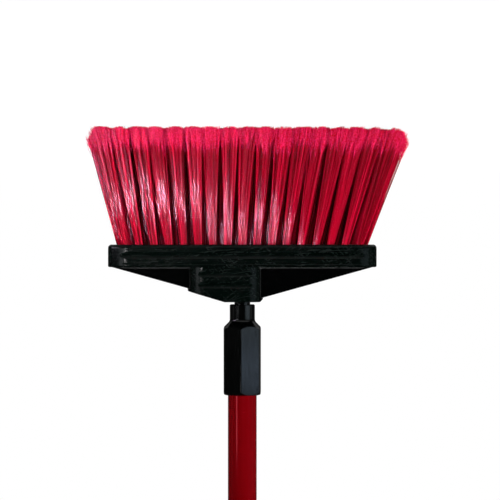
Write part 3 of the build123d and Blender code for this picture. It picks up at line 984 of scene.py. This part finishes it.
def softbox(name, azimuth, height, distance, size, level, colour=WHITE, use="lamp", aim=None, beam=None):
    """Area lamp turned to the head: azimuth 0 stands before its front, and 90 on the +X side.

    The power makes a white face square to the lamp show this level: pi squared times distance squared
    times level. A grid keeps the light within half a beam angle of the axis, and that narrowing is taken
    out of the power. A fill lights the surfaces without being mirrored in them, and a card is only mirrored.
    """
    data = bpy.data.lights.new(name, "AREA")
    data.shape = "RECTANGLE"
    data.size, data.size_y = size
    data.energy = level * (math.pi * distance) ** 2
    if beam:
        half = math.radians(beam) / 2
        data.spread = 2 * half
        data.energy *= 1 - half / math.tan(half)
    data.color = colour
    lamp = bpy.data.objects.new(name, data)
    turn = math.radians(azimuth)
    lamp.location = (distance * math.sin(turn), -distance * math.cos(turn), height)
    target = Vector(aim or (0, 0, height))
    lamp.rotation_euler = (target - lamp.location).to_track_quat("-Z", "Y").to_euler()
    lamp.visible_camera = False
    lamp.visible_glossy = use != "fill"
    lamp.visible_diffuse = use != "card"
    bpy.context.scene.collection.objects.link(lamp)


def studio_lamps():
    """All the lamps: left and right are as the photograph shows them, with +X on the left."""
    softbox(
        "left_lamp",
        azimuth=27, height=0.12, distance=NEAR_LAMP, size=(0.05, 0.024), level=0.8,
        colour=(1.0, 0.95, 0.96), aim=(0.06, -0.02, 0.048), beam=26,
    )
    softbox(
        "centre_card",
        azimuth=21, height=0.12, distance=NEAR_LAMP, size=(0.05, 0.012), level=0.5,
        colour=(1.0, 0.95, 0.98), use="card", aim=(-0.035, -0.02, 0.085), beam=17,
    )
    softbox(
        "left_low_card",
        azimuth=48, height=0.122, distance=NEAR_LAMP, size=(0.19, 0.044), level=0.052,
        colour=(0.95, 1.0, 1.04), use="card",
    )
    softbox(
        "left_side_card",
        azimuth=80, height=0.07, distance=0.25, size=(0.14, 0.045), level=0.2,
        colour=(1.0, 0.85, 1.1), use="card",
    )
    softbox(
        "left_side_fill",
        azimuth=80, height=0.05, distance=0.6, size=(0.2, 0.12), level=0.8,
        colour=(1.0, 0.9, 1.1), use="fill", aim=(0.125, 0.0, 0.06), beam=24,
    )
    softbox(
        "left_strip",
        azimuth=45, height=0.285, distance=NEAR_LAMP, size=(0.06, 0.07), level=0.05, use="card",
    )
    softbox(
        "right_low_card",
        azimuth=-50, height=0.11, distance=FAR_LAMP, size=(1.0, 0.18), level=0.048,
        colour=(0.74, 0.9, 1.0), use="card",
    )
    softbox(
        "right_card",
        azimuth=-52, height=0.268, distance=FAR_LAMP, size=(0.3, 0.03), level=0.005,
        colour=(0.72, 0.92, 1.2), use="card",
    )
    softbox(
        "left_fill",
        azimuth=52, height=0.03, distance=FAR_LAMP, size=(0.5, 0.4), level=1.38, use="fill", beam=40,
    )
    softbox(
        "front_fill",
        azimuth=-10, height=0.02, distance=FILL_LAMP, size=(0.6, 0.4), level=1.5, use="fill", beam=34,
    )
    softbox(
        "right_fill",
        azimuth=-58, height=0.26, distance=FAR_LAMP, size=(0.6, 0.5), level=0.9, use="fill",
    )
    softbox(
        "back_fill",
        azimuth=170, height=0.3, distance=FILL_LAMP, size=(0.8, 0.6), level=0.6, use="fill",
    )
    softbox(
        "high_fill",
        azimuth=-25, height=1.15, distance=1.3, size=(0.5, 0.8), level=1.1, use="fill", beam=60,
    )
    softbox(
        "high_card",
        azimuth=40, height=0.98, distance=0.9, size=(0.1, 0.9), level=0.06, use="card",
    )


# Effects that the materials share
fine_grain = grain_group()
flow_streaks = streak_group()
crossed_scratches = scratch_group()
# Edges, for pale lines that are partly wear and partly painted highlight
edge_wear_and_highlight = nearness_group(
    "edge_wear_and_highlight",
    inside=True, levels=(0.15, 0.6), patch_scale=420.0, patch_levels=(0.35, 0.65), faintest=0.35,
)
# Inner corners, for painted highlight lines
inner_corners = nearness_group(
    "inner_corners",
    inside=False, levels=(0.12, 0.4), patch_scale=160.0, patch_levels=(0.3, 0.6), faintest=0.4,
)
settled_dust = dust_group()

# Bristles and the bed that they stand in
bristle = bristle_material()
for row in range(ROW_COUNT):
    tufts = bristle_row(row)
    dress(tufts, bristle)
    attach(tufts, "head")
    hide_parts(f"bristle_row_{row + 1}")

head_plastic = head_finish()
bed = tuft_bed()
dress(bed, head_plastic)
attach(bed, "head")

# Finishes of the CAD pieces
finishes = {
    "head_block": head_plastic,
    "tuft_anchors": bare_steel("anchor_wire", (0.04, 1.0, 1.0)),
    "handle_tip": tip_finish(),
    "tip_core_pin": bare_steel("pin_steel", (1.0, 1.0, 0.04)),
    "handle_tube": gloss_paint(),
    "hang_cap": cap_finish(),
}
for name, material in finishes.items():
    dress(nodes[name], material)

# Studio
camera_at_photo()
studio_world()
studio_floor()
studio_lamps()

bpy.context.scene.view_settings.view_transform = "Standard"
